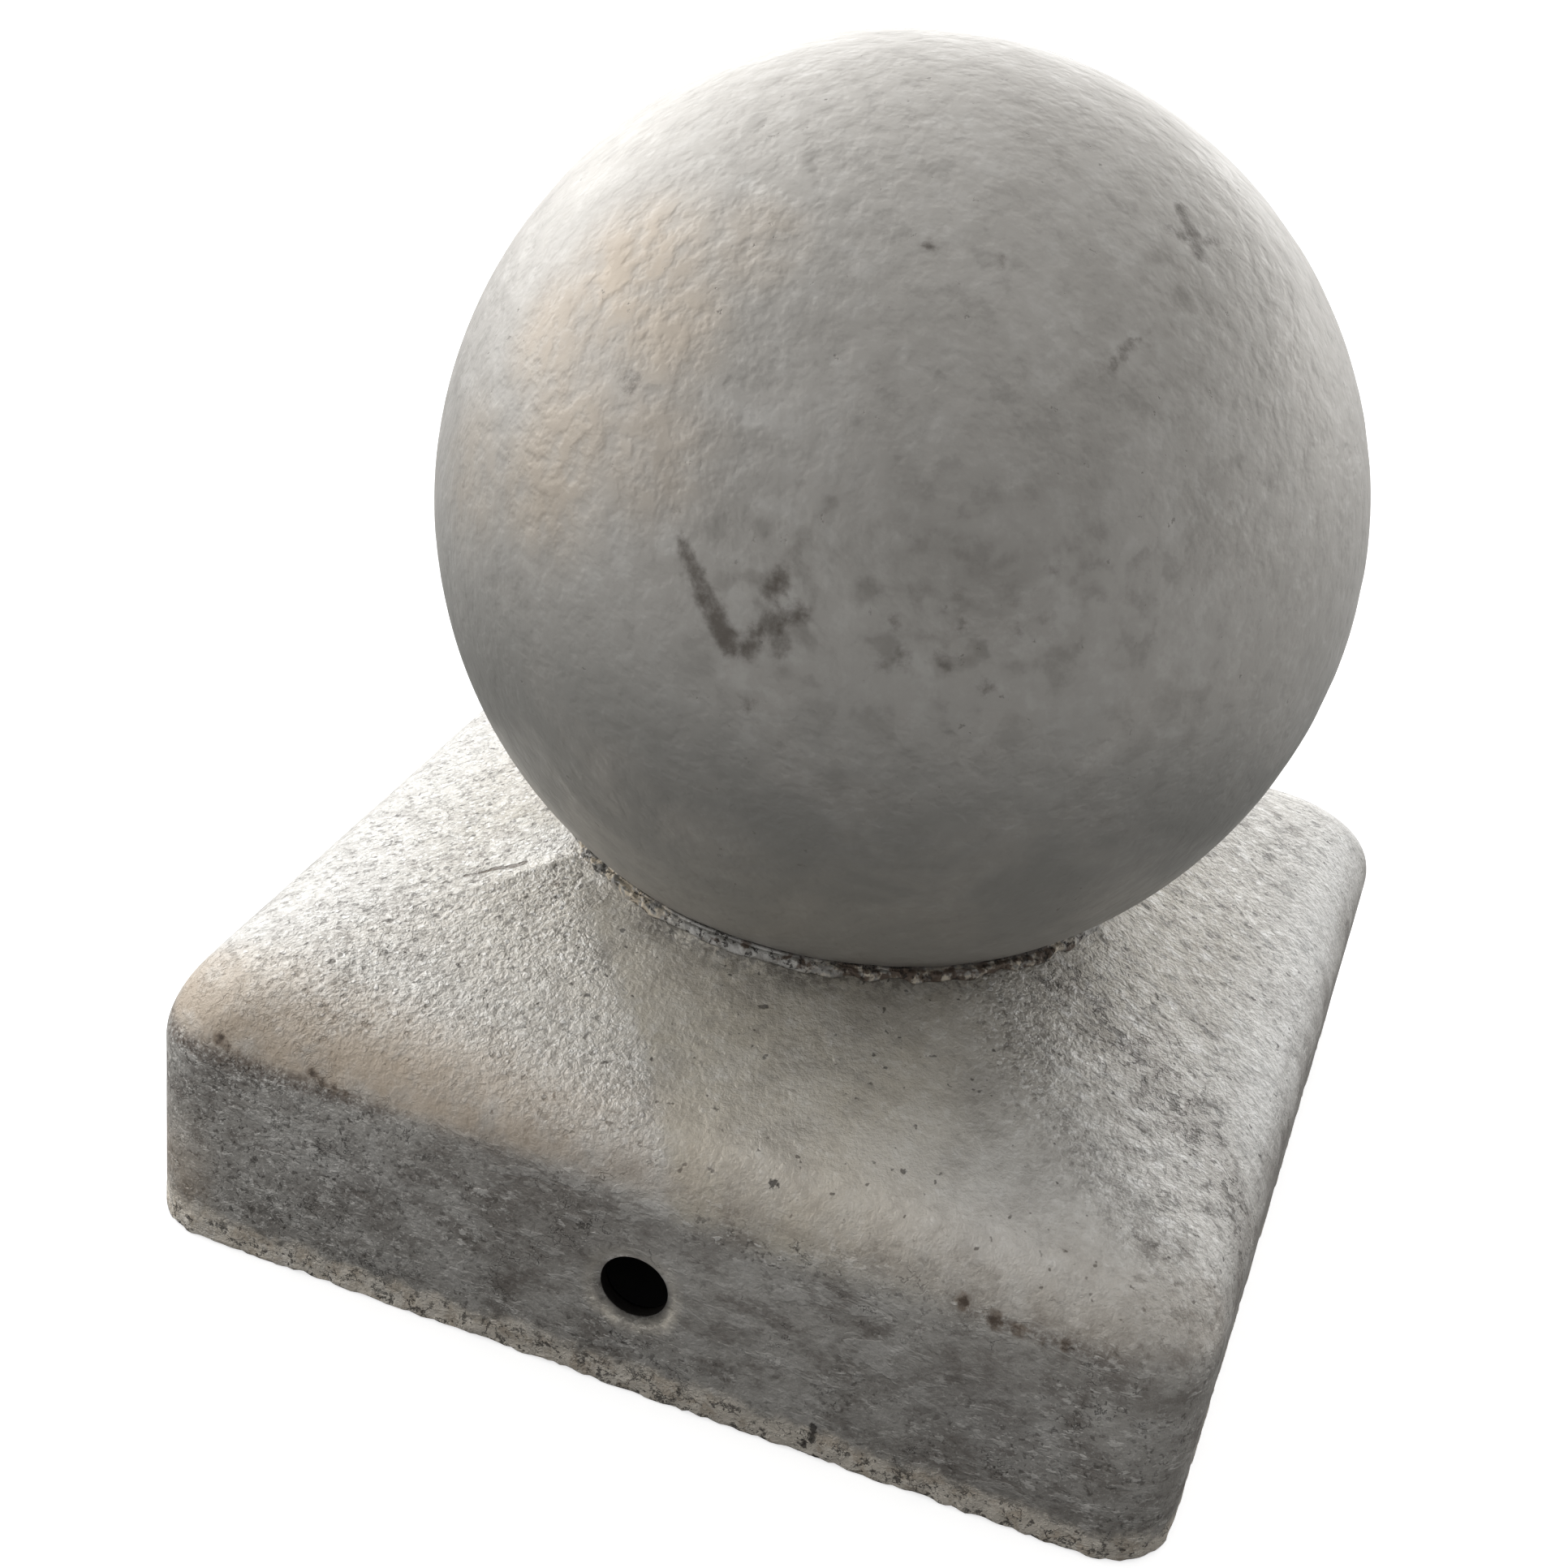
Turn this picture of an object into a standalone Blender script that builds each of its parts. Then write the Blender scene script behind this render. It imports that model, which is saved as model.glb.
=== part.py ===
"""A ball-top cap for a 90 mm square fence post, in hot-dip galvanised steel.

A square cap is pressed from sheet: a short skirt that slips over the post, and a low roof whose four
hips fade into a round seat. A hollow ball, welded from two pressed half shells, stands in the seat and
is held by a fillet weld round its foot. Two screw holes, front and rear, fix the cap to the post.

Frame: metres, +Z up, origin on the axis in the plane of the skirt's bottom rim, front hole facing -Y.
"""

import math

import bmesh
import bpy
from mathutils import Matrix, Vector

# Pressed cap
SOCKET_WIDTH = 0.0910
SHEET = 0.0010
SKIRT_HEIGHT = 0.0185
SKIRT_CORNER_RADIUS = 0.0063
EAVES_CORNER_RADIUS = 0.0075
BEND_RADIUS = 0.0080
SEAT_HEIGHT = 0.0326

# Screw holes
HOLE_DIAMETER = 0.0060
HOLE_HEIGHT = 0.0110

# Ball
BALL_RADIUS = 0.0400
BALL_CENTRE_HEIGHT = 0.0637
BALL_WALL = 0.0015
DRAIN_RADIUS = 0.0050

# Welds
SEAM_WIDTH = 0.0016
SEAM_ROOT = 0.0005
BEAD_REACH = 0.0017
BEAD_CLIMB = math.radians(2.1)
BEAD_ROOT_CLIMB = math.radians(0.7)
BEAD_BULGE = 0.0004
BEAD_TOE = 0.00015

# Clearance between neighbouring pieces
GAP = 0.0003

# How finely each round shape is faceted
FLAT_STEPS = 6
CORNER_STEPS = 5
BEND_STEPS = 6
ROOF_STEPS = 4
ROUND_STEPS = 56
BALL_STEPS = 9
BEAD_STEPS = 4
HOLE_STEPS = 28

CAP_HALF = SOCKET_WIDTH / 2 + SHEET
SEAT_DROP = BALL_CENTRE_HEIGHT - SEAT_HEIGHT
SEAT_RADIUS = math.sqrt((BALL_RADIUS + GAP) ** 2 - SEAT_DROP ** 2)


def clear_scene():
    for obj in list(bpy.data.objects):
        bpy.data.objects.remove(obj, do_unlink=True)


def steel(name, colour, roughness, metallic):
    material = bpy.data.materials.new(name)
    material.use_nodes = True
    shader = material.node_tree.nodes["Principled BSDF"]
    shader.inputs["Base Color"].default_value = (*colour, 1.0)
    shader.inputs["Roughness"].default_value = roughness
    shader.inputs["Metallic"].default_value = metallic
    material.diffuse_color = (*colour, 1.0)
    return material


def skin(name, rings, material, crease=math.radians(30)):
    """One closed piece from a loop of rings. The last ring joins the first, and a ring of one point is a pole."""
    work = bmesh.new()
    loops = [[work.verts.new(point) for point in ring] for ring in rings]
    for here, after in zip(loops, loops[1:] + loops[:1]):
        count = max(len(here), len(after))
        for i in range(count):
            j = (i + 1) % count
            below = (here[i % len(here)], here[j % len(here)])
            above = (after[j % len(after)], after[i % len(after)])
            corners = list(dict.fromkeys(below + above))
            if len(corners) > 2:
                work.faces.new(corners)
    bmesh.ops.recalc_face_normals(work, faces=work.faces)
    mesh = bpy.data.meshes.new(name)
    work.to_mesh(mesh)
    work.free()
    mesh.materials.append(material)
    mesh.shade_smooth()
    mesh.set_sharp_from_angle(angle=crease)
    piece = bpy.data.objects.new(name, mesh)
    bpy.context.scene.collection.objects.link(piece)
    return piece


def polar_point(reach, azimuth, height):
    return Vector((reach * math.cos(azimuth), reach * math.sin(azimuth), height))


def round_ring(reach, height, azimuths):
    return [polar_point(reach, azimuth, height) for azimuth in azimuths]


def even_azimuths():
    return [math.tau * i / ROUND_STEPS for i in range(ROUND_STEPS)]


# The pressed cap: every section is a ring of points on the same rays from the axis


def cap_azimuths():
    """Directions once round the cap, coarse along the flats and fine round the corners."""
    corner_start = math.atan2(CAP_HALF - EAVES_CORNER_RADIUS, CAP_HALF)
    octant = [corner_start * i / FLAT_STEPS for i in range(FLAT_STEPS)]
    octant += [
        corner_start + (math.pi / 4 - corner_start) * i / CORNER_STEPS
        for i in range(CORNER_STEPS + 1)
    ]
    side = [-a for a in reversed(octant[1:-1])] + octant
    return [quarter * math.pi / 2 + a for quarter in range(4) for a in side]


def square_reach(azimuth, half, radius):
    """From the axis to the outline of a rounded square, in this direction."""
    fold = abs((azimuth + math.pi / 4) % (math.pi / 2) - math.pi / 4)
    core = half - radius
    if math.tan(fold) * half <= core:
        return half / math.cos(fold)
    along = core * (math.cos(fold) + math.sin(fold))
    aside = core * (math.cos(fold) - math.sin(fold))
    return along + math.sqrt(radius ** 2 - aside ** 2)


def roof_pitch():
    """Slope at the middle of a roof face, where the face leaves the bend without a kink."""
    pitch = 0.0
    for _ in range(40):
        rise = SEAT_HEIGHT - SKIRT_HEIGHT - BEND_RADIUS * math.cos(pitch)
        run = CAP_HALF - BEND_RADIUS * (1 - math.sin(pitch)) - SEAT_RADIUS
        pitch = math.atan2(rise, run)
    return pitch


def bend_section(depth, share):
    """Half width, corner radius and height of the rounded square this far through the bend.

    The share runs from 0 at the top of the skirt to 1 at the eaves, and depth is how deep in the sheet.
    """
    turn = (math.pi / 2 - roof_pitch()) * share
    bend = BEND_RADIUS - depth
    half = CAP_HALF - BEND_RADIUS + bend * math.cos(turn)
    corner = SKIRT_CORNER_RADIUS + (EAVES_CORNER_RADIUS - SKIRT_CORNER_RADIUS) * share
    return half, corner - depth, SKIRT_HEIGHT + bend * math.sin(turn)


def cap_face(depth, azimuths):
    """Rings of the cap's outer face (depth 0) or inner face (depth SHEET), from the rim up to the seat."""
    half, corner, _ = bend_section(depth, 0.0)
    rings = [[polar_point(square_reach(a, half, corner), a, 0.0) for a in azimuths]]
    for step in range(BEND_STEPS + 1):
        half, corner, height = bend_section(depth, step / BEND_STEPS)
        rings.append([polar_point(square_reach(a, half, corner), a, height) for a in azimuths])
    seat_height = SEAT_HEIGHT - depth / math.cos(roof_pitch())
    seat = round_ring(SEAT_RADIUS, seat_height, azimuths)
    eaves = rings[-1]
    for step in range(1, ROOF_STEPS + 1):
        share = step / ROOF_STEPS
        rings.append([low.lerp(high, share) for low, high in zip(eaves, seat)])
    return rings


def screw_hole_cutter():
    """A rod across both walls, front to rear."""
    work = bmesh.new()
    bmesh.ops.create_cone(
        work,
        cap_ends=True,
        segments=HOLE_STEPS,
        radius1=HOLE_DIAMETER / 2,
        radius2=HOLE_DIAMETER / 2,
        depth=CAP_HALF * 3,
    )
    mesh = bpy.data.meshes.new("screw_hole_cutter")
    work.to_mesh(mesh)
    work.free()
    cutter = bpy.data.objects.new("screw_hole_cutter", mesh)
    bpy.context.scene.collection.objects.link(cutter)
    cutter.matrix_world = Matrix.Translation((0, 0, HOLE_HEIGHT)) @ Matrix.Rotation(math.pi / 2, 4, "X")
    cutter.hide_render = True
    cutter.display_type = "WIRE"
    return cutter


def cap_shell(material):
    azimuths = cap_azimuths()
    outer = cap_face(0.0, azimuths)
    inner = cap_face(SHEET, azimuths)
    shell = skin("cap_shell", outer + inner[::-1], material)
    drilled = shell.modifiers.new("screw_holes", "BOOLEAN")
    drilled.operation = "DIFFERENCE"
    drilled.solver = "EXACT"
    drilled.object = screw_hole_cutter()
    return shell


# The ball: two half shells, butted at the equator and welded


def ball_ring(radius, polar, azimuths):
    """Ring on a sphere about the ball's centre. The polar angle is counted from straight down."""
    height = BALL_CENTRE_HEIGHT - radius * math.cos(polar)
    return round_ring(radius * math.sin(polar), height, azimuths)


def seam_polar(radius):
    """Polar angle at which a half shell stops short of the weld between the halves."""
    return math.pi / 2 - math.asin((SEAM_WIDTH / 2 + GAP) / radius)


def half_shell_face(radius, opening):
    """Rings from the opening (a polar angle, 0 for a closed pole) out to the seam, in the lower half."""
    azimuths = even_azimuths()
    rings = []
    for step in range(BALL_STEPS + 1):
        polar = opening + (seam_polar(radius) - opening) * step / BALL_STEPS
        rings.append(ball_ring(radius, polar, azimuths if polar > 0 else azimuths[:1]))
    return rings


def ball_lower_half(material):
    """The half that sits in the roof. The hole at the bottom lets zinc and air in and out of the ball."""
    inside = BALL_RADIUS - BALL_WALL
    outer = half_shell_face(BALL_RADIUS, math.asin(DRAIN_RADIUS / BALL_RADIUS))
    inner = half_shell_face(inside, math.asin(DRAIN_RADIUS / inside))
    return skin("ball_lower_half", outer + inner[::-1], material)


def ball_upper_half(material):
    outer = half_shell_face(BALL_RADIUS, 0.0)
    inner = half_shell_face(BALL_RADIUS - BALL_WALL, 0.0)
    flip = Vector((1, 1, -1))
    lift = Vector((0, 0, 2 * BALL_CENTRE_HEIGHT))
    rings = [[point * flip + lift for point in ring] for ring in outer + inner[::-1]]
    return skin("ball_upper_half", rings, material)


def ball_seam_weld(material):
    """Weld round the equator, ground flush outside, with its root bead standing proud inside."""
    azimuths = even_azimuths()
    half = SEAM_WIDTH / 2
    edge = BALL_RADIUS - math.sqrt(BALL_RADIUS ** 2 - half ** 2)
    wall_inside = BALL_RADIUS - BALL_WALL
    section = (
        (BALL_RADIUS - edge, -half),
        (BALL_RADIUS, 0.0),
        (BALL_RADIUS - edge, half),
        (wall_inside, half),
        (wall_inside - SEAM_ROOT, half / 2),
        (wall_inside - SEAM_ROOT, -half / 2),
        (wall_inside, -half),
    )
    rings = [round_ring(reach, BALL_CENTRE_HEIGHT + rise, azimuths) for reach, rise in section]
    return skin("ball_seam_weld", rings, material)


# The fillet weld round the ball's foot


def roof_height(azimuth, reach):
    """Height of the roof's outer face: a straight line from the seat to the eaves on every ray."""
    half, corner, eaves_height = bend_section(0.0, 1.0)
    eaves_reach = square_reach(azimuth, half, corner)
    share = (reach - SEAT_RADIUS) / (eaves_reach - SEAT_RADIUS)
    return SEAT_HEIGHT + (eaves_height - SEAT_HEIGHT) * share


def bead_section(azimuth):
    """The bead in one direction: up the ball, out over its rounded face, and back in along the roof."""
    ball_face = BALL_RADIUS + GAP
    seat_polar = math.acos(SEAT_DROP / ball_face)
    section = []
    for climb in (BEAD_ROOT_CLIMB, (BEAD_ROOT_CLIMB + BEAD_CLIMB) / 2, BEAD_CLIMB):
        polar = seat_polar + climb
        section.append(Vector((ball_face * math.sin(polar), BALL_CENTRE_HEIGHT - ball_face * math.cos(polar))))
    root, _, top = section
    toe_reach = SEAT_RADIUS + BEAD_REACH
    toe = Vector((toe_reach, roof_height(azimuth, toe_reach) + GAP + BEAD_TOE))
    outward = Vector((top.y - toe.y, toe.x - top.x)).normalized()
    for step in range(1, BEAD_STEPS):
        share = step / BEAD_STEPS
        section.append(top.lerp(toe, share) + outward * BEAD_BULGE * math.sin(math.pi * share))
    section.append(toe)
    for reach in (toe_reach - BEAD_TOE, (toe_reach + root.x) / 2, root.x + BEAD_TOE):
        section.append(Vector((reach, roof_height(azimuth, reach) + GAP)))
    return section


def ball_foot_weld(material):
    azimuths = cap_azimuths()
    sections = [bead_section(azimuth) for azimuth in azimuths]
    rings = [
        [polar_point(point.x, azimuth, point.y) for azimuth, point in zip(azimuths, strand)]
        for strand in zip(*sections)
    ]
    return skin("ball_foot_weld", rings, material)


def build():
    clear_scene()
    cap_shell(steel("galvanised_cap", (0.42, 0.42, 0.41), 0.55, 0.75))
    ball_lower_half(steel("galvanised_ball_lower", (0.36, 0.36, 0.35), 0.45, 0.75))
    ball_upper_half(steel("galvanised_ball_upper", (0.40, 0.40, 0.39), 0.45, 0.75))
    ball_seam_weld(steel("ground_seam_weld", (0.38, 0.38, 0.37), 0.45, 0.75))
    ball_foot_weld(steel("foot_weld", (0.30, 0.26, 0.21), 0.75, 0.45))


build()
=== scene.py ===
"""Looks of a galvanised fence post cap: a low hipped cap of pressed sheet with a hollow ball on top."""
import math
import bpy
import numpy as np
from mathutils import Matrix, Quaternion, Vector


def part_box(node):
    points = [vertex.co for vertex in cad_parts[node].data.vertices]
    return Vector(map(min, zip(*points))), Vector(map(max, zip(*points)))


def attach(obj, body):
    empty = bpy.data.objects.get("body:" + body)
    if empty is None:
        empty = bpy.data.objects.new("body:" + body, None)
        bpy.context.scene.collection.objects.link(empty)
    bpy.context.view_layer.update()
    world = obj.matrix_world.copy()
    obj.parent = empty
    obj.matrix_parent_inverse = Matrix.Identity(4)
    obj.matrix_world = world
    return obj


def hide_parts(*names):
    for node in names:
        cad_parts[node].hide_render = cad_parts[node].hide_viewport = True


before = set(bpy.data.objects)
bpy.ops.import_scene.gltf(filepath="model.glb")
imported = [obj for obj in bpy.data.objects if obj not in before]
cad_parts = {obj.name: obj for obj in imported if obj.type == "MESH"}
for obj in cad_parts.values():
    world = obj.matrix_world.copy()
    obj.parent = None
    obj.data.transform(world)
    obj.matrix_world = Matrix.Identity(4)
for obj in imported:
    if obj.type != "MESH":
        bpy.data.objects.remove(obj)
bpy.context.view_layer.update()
MM = 0.001

# ---- dimensions: from the CAD nodes' boxes, or the same as the part's ----
cap_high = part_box("cap_shell")[1]
seam_low, seam_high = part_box("ball_seam_weld")
HALF = cap_high.x  # half the width over the skirt
SEAT_HEIGHT = cap_high.z  # where the roof meets the ball
BALL_CENTRE = (seam_low.z + seam_high.z) / 2
BALL_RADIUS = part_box("ball_upper_half")[1].z - BALL_CENTRE
BALL_WALL = 1.5 * MM
DRAIN_RADIUS = 5 * MM
SHEET = 1 * MM
SKIRT_HEIGHT = 18.5 * MM
SKIRT_CORNER = 6.3 * MM
EAVES_CORNER = 7.5 * MM
BEND_RADIUS = 8 * MM
HOLE_RADIUS = 3 * MM
HOLE_HEIGHT = 11 * MM
SEAT_GAP = 0.3 * MM
SEAT_DROP = BALL_CENTRE - SEAT_HEIGHT
SEAT_RADIUS = math.sqrt((BALL_RADIUS + SEAT_GAP) ** 2 - SEAT_DROP ** 2)


# ---- noise ----
NOISE_GAIN = 1.6  # brings the noise to about -1 to 1


def blob_noise(points, size, seed):
    """Smooth noise, about -1 to 1, with blobs of this size in metres."""
    random = np.random.default_rng(seed)
    order = random.permutation(256)
    slopes = random.normal(size=(256, 3))
    slopes /= np.linalg.norm(slopes, axis=1)[:, None]
    cells = points / size
    base = np.floor(cells).astype(int)
    inside = cells - base
    ease = inside ** 3 * (inside * (inside * 6 - 15) + 10)
    total = 0
    for corner in np.ndindex(2, 2, 2):
        at = base + corner
        pick = order[(order[(order[at[..., 0] % 256] + at[..., 1]) % 256] + at[..., 2]) % 256]
        slope = ((inside - corner) * slopes[pick]).sum(-1)
        weight = np.prod(np.where(np.array(corner) == 1, ease, 1 - ease), axis=-1)
        total = total + slope * weight
    return total * NOISE_GAIN


def rough_noise(points, size, seed, octaves=3):
    """Noise of several sizes, each half of the last."""
    total = 0
    for octave in range(octaves):
        total = total + blob_noise(points, size / 2 ** octave, seed + octave) / 2 ** octave
    return total / (2 - 0.5 ** (octaves - 1))


def smooth(low, high, value):
    """0 at low, 1 at high, with an even S between them."""
    share = np.clip((value - low) / (high - low), 0, 1)
    return share * share * (3 - 2 * share)


def hump(value, rise, top, fall, end):
    """0 up to rise, 1 from top to fall, 0 again from end."""
    return smooth(rise, top, value) * (1 - smooth(fall, end, value))


def patch(x, y, middle, size):
    """1 in the middle of a soft patch, and less with distance. It is about this wide each way from there."""
    return np.exp(-((x - middle[0]) / size[0]) ** 2 - ((y - middle[1]) / size[1]) ** 2)


# ---- the cap's shape ----
def square_reach(azimuth, half, radius):
    """How far a square of this half width, with corners of this radius, reaches at each azimuth."""
    fold = np.abs((azimuth + math.pi / 4) % (math.pi / 2) - math.pi / 4)
    core = half - radius
    along = core * (np.cos(fold) + np.sin(fold))
    aside = core * (np.cos(fold) - np.sin(fold))
    corner = along + np.sqrt(np.maximum(radius ** 2 - aside ** 2, 0))
    return np.where(np.tan(fold) * half <= core, half / np.cos(fold), corner)


def roof_pitch():
    """The slope at which the roof runs straight from the bend to the seat, found by stepping closer to it."""
    pitch = 0.3
    for _ in range(40):
        rise = SEAT_HEIGHT - SKIRT_HEIGHT - BEND_RADIUS * math.cos(pitch)
        run = HALF - BEND_RADIUS * (1 - math.sin(pitch)) - SEAT_RADIUS
        pitch = math.atan2(rise, run)
    return pitch


PITCH = roof_pitch()


def bend_section(depth, share):
    """Half width, corner radius and height of the sheet at this depth, from skirt top (0) to eaves (1)."""
    turn = (math.pi / 2 - PITCH) * share
    bend = BEND_RADIUS - depth
    half = HALF - BEND_RADIUS + bend * math.cos(turn)
    corner = SKIRT_CORNER + (EAVES_CORNER - SKIRT_CORNER) * share
    return half, corner - depth, SKIRT_HEIGHT + bend * math.sin(turn)


def ring(azimuth, reach, height):
    return np.stack([reach * np.cos(azimuth), reach * np.sin(azimuth), height + 0 * azimuth], axis=-1)


EIGHTH = 80  # columns in an eighth of the way round
COLUMNS = 8 * EIGHTH
STEP = 0.5 * MM  # between rows on the skirt
OUTER_BEND, OUTER_ROOF = 16, 32  # rows of the sheet's outside
INNER_BEND, INNER_ROOF = 6, 8  # and of its inside
SEAT_LAP = 0.15 * MM  # the roof's inside ends this much nearer the axis than its outside


def even_columns():
    """Azimuths that split the skirt's outline into even lengths, starting at the front left corner."""
    fine = np.linspace(0, math.pi / 4, 4000)
    reach = square_reach(fine, HALF, SKIRT_CORNER)
    line = np.stack([reach * np.cos(fine), reach * np.sin(fine)], axis=-1)
    length = np.concatenate([[0], np.cumsum(np.linalg.norm(np.diff(line, axis=0), axis=1))])
    eighth = np.interp(np.linspace(0, length[-1], EIGHTH + 1), length, fine)
    side = np.concatenate([-eighth[::-1], eighth[1:-1]])
    return np.concatenate([side + quarter * math.pi / 2 - math.pi / 2 for quarter in range(4)])


def skin_rows(depth, bend_rows, roof_rows, azimuth):
    """Rings of one face of the sheet from the roof's opening down to the first row above the rim."""
    seat = SEAT_RADIUS - SEAT_LAP if depth else SEAT_RADIUS
    half, corner, height = bend_section(depth, 1)
    eaves = square_reach(azimuth, half, corner)
    top = SEAT_HEIGHT - depth / math.cos(PITCH)
    rows = []
    for share in np.linspace(0, 1, roof_rows + 1):
        rows.append(ring(azimuth, seat + (eaves - seat) * share, top + (height - top) * share))
    for share in np.linspace(1, 0, bend_rows + 1)[1:]:
        half, corner, height = bend_section(depth, share)
        rows.append(ring(azimuth, square_reach(azimuth, half, corner), height))
    reach = square_reach(azimuth, HALF - depth, SKIRT_CORNER - depth)
    for row in range(round(SKIRT_HEIGHT / STEP) - 1, 0, -1):
        rows.append(ring(azimuth, reach, row * STEP))
    return rows


TINY = 1e-12  # keeps a length from being divided by when it is 0
HOLE_LOOPS = 8  # loops of quads taken out for the screw hole
WARP_LOOPS = 14  # loops that bend from round back to square


def open_hole(rows, first_row, hole_column):
    """Bends the grid of one face into loops round a screw hole. Returns the row of the hole's middle."""
    hole_row = first_row - round(HOLE_HEIGHT / STEP)
    span = np.arange(-WARP_LOOPS, WARP_LOOPS + 1)
    loop = np.maximum(np.abs(span)[:, None], np.abs(span))
    at = np.ix_(hole_row + span, hole_column + span, [0, 2])
    centre = rows[hole_row, hole_column, [0, 2]]
    offset = rows[at] - centre
    distance = np.maximum(np.hypot(offset[..., 0], offset[..., 1]), TINY)
    share = (loop - HOLE_LOOPS) / (WARP_LOOPS - HOLE_LOOPS)
    outside = HOLE_RADIUS + (WARP_LOOPS * STEP - HOLE_RADIUS) * share
    radius = np.where(share > 0, outside, HOLE_RADIUS * loop / HOLE_LOOPS)
    blend = smooth(0, 1, share)[..., None]
    rows[at] = centre + offset * ((radius / distance)[..., None] * (1 - blend) + blend)
    return hole_row


LIP_WIDTH = 1.1 * MM  # the sheet is dished in round each screw hole
LIP_DEPTH = 0.55 * MM
LIP_ZONE = 12 * MM  # round the hole's centre, clear of all other shape
LIP_CALM = 3 * MM  # the sheet's waves and lumps fade out this close to the hole's edge
BURR = 0.35 * MM  # stands up on the inside of the hole


def edge_loop(hole_row, hole_column):
    """The square of grid points that became the hole's edge, in order."""
    side = range(-HOLE_LOOPS, HOLE_LOOPS)
    half = [(-HOLE_LOOPS, i) for i in side] + [(i, HOLE_LOOPS) for i in side]
    loop = half + [(-row, -column) for row, column in half]
    return [(hole_row + row, hole_column + column) for row, column in loop]


def grid_normals(points):
    """Outward normals of a closed band of rings."""
    down = np.roll(points, -1, axis=0) - np.roll(points, 1, axis=0)
    along = np.roll(points, -1, axis=1) - np.roll(points, 1, axis=1)
    normal = np.cross(down, along)
    return normal / np.maximum(np.linalg.norm(normal, axis=-1, keepdims=True), TINY)


def make_piece(name, points, faces, material, masks, node):
    """A smooth mesh with its masks, which rides on root and stands in for one CAD node."""
    mesh = bpy.data.meshes.new(name)
    mesh.from_pydata(np.reshape(points, (-1, 3)).tolist(), [], faces)
    mesh.update()
    mesh.polygons.foreach_set("use_smooth", [True] * len(mesh.polygons))
    for mask, values in masks.items():
        layer = mesh.attributes.new(mask, "FLOAT", "POINT")
        layer.data.foreach_set("value", np.ascontiguousarray(values, np.float32).ravel())
    mesh.materials.append(material)
    piece = bpy.data.objects.new(name, mesh)
    bpy.context.scene.collection.objects.link(piece)
    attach(piece, "root")
    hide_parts(node)
    return piece


def band_faces(rows, closed=True):
    """Quads between rings of points, and from the last ring to the first where the band is closed."""
    count, width = rows.shape[:2]
    faces = []
    for row in range(count if closed else count - 1):
        near, far = row * width, (row + 1) % count * width
        for column in range(width):
            right = (column + 1) % width
            faces.append((near + column, far + column, far + right, near + right))
    return faces


SOLID_SHARE = 0.2  # of a mark's radius, where it is at full strength


def spots(points, marks):
    """How strongly each point lies in one of the marks: (x, y, z, radius, strength), in millimetres."""
    total = np.zeros(points.shape[:-1])
    for x, y, z, radius, strength in marks:
        apart = np.linalg.norm(points - np.array([x, y, z]) * MM, axis=-1)
        total = np.maximum(total, strength * (1 - smooth(SOLID_SHARE * radius * MM, radius * MM, apart)))
    return total


# the rounded edge of the rim: depth from the outside and height, in mm
RIM_TURN = ((0.02, 0.24), (0.09, 0.09), (0.26, 0), (0.74, 0), (0.91, 0.09), (0.98, 0.24))

# x, y, z, radius in mm and strength of each mark
RUST_MARKS = (  # specks along the front bend
    (-38.9, -45.6, 21.6, 1.1, 1), (-38, -45.7, 21.1, 0.9, 0.85), (-40.4, -45.3, 21.4, 0.8, 0.75),
    (-36.9, -45.9, 20.9, 0.8, 0.75), (-30.2, -45.7, 21.4, 0.9, 1), (-29.2, -45.8, 21.1, 0.9, 0.9),
    (-28.1, -45.9, 20.8, 0.9, 0.9), (-27, -46, 20.6, 0.8, 0.7), (-25.5, -46, 20.5, 0.8, 0.5),
    (26.7, -45.9, 20.7, 1.1, 1.2), (29.4, -46, 20.2, 1.4, 1), (31.3, -46, 20, 1.2, 0.9),
    (35, -46, 20, 1.2, 1), (33, -46.1, 19.8, 0.8, 0.6), (-42.5, -44.5, 20.8, 0.7, 0.9),
    (-44, -43, 20.2, 0.6, 0.8), (-19.4, -23.1, 31, 1.1, 1),
)
DARK_MARKS = (  # pits and scratches
    (17, -46.5, 3.4, 0.5, 1), (17.1, -46.5, 2.9, 0.5, 1), (17, -46.5, 2.4, 0.55, 1),
    (16.9, -46.5, 1.9, 0.6, 1), (16.6, -46.5, 1.5, 0.6, 1), (16.2, -46.5, 1.1, 0.6, 0.9),
    (35, -33, 27, 0.9, 1), (9.9, -44, 24.2, 0.8, 0.8),
)


def in_mm(points):
    return np.moveaxis(points, -1, 0) / MM


def stain_and_corner_reflection(points):
    """Brown stain along the front bend, strongest at the left, and a warm band of painted reflection up the
    front left corner from the rim.
    """
    x, y, z = in_mm(points)
    along = 0.25 + 0.75 * (1 - smooth(-24, 8, x))
    bend = hump(z, 19.8, 21.8, 23.2, 28.5) * smooth(36, 41, -y)
    # painted reflection of warm surroundings up the front left corner
    corner = (1 - smooth(3.5, 8, np.hypot(x + 45, y + 45))) * (1 - smooth(5, 16, z))
    return np.maximum(bend * along, 0.55 * corner)


def front_in_ball_shadow(points):
    """The part of the roof's front face that lies in the ball's shadow, right of a line from the ball's foot
    to the bend.
    """
    x, y, _ = in_mm(points)
    edge = -14.5 - 0.74 * (y + 25)
    patches = blob_noise(points, 9 * MM, 91)
    return smooth(-4, 10, -y - np.abs(x) - 4 * patches) * smooth(-1.4, 1.4, x - edge + 1.6 * patches)


def roof_grain_less_in_shadow(points):
    """Where the zinc is rough: all over the roof, but less on the front face in the ball's shadow, where the
    painted grain is toned down as painted shade.
    """
    x, y, _ = in_mm(points)
    patches = blob_noise(points, 12 * MM, 91)
    front = front_in_ball_shadow(points)
    hip = np.exp(-((x + y + 1) / 4.5) ** 2) * (x > 0)
    return np.clip((1 - 0.85 * front) * (0.75 + 0.3 * patches) + 0.55 * hip * (1 - front), 0, 1)


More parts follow.
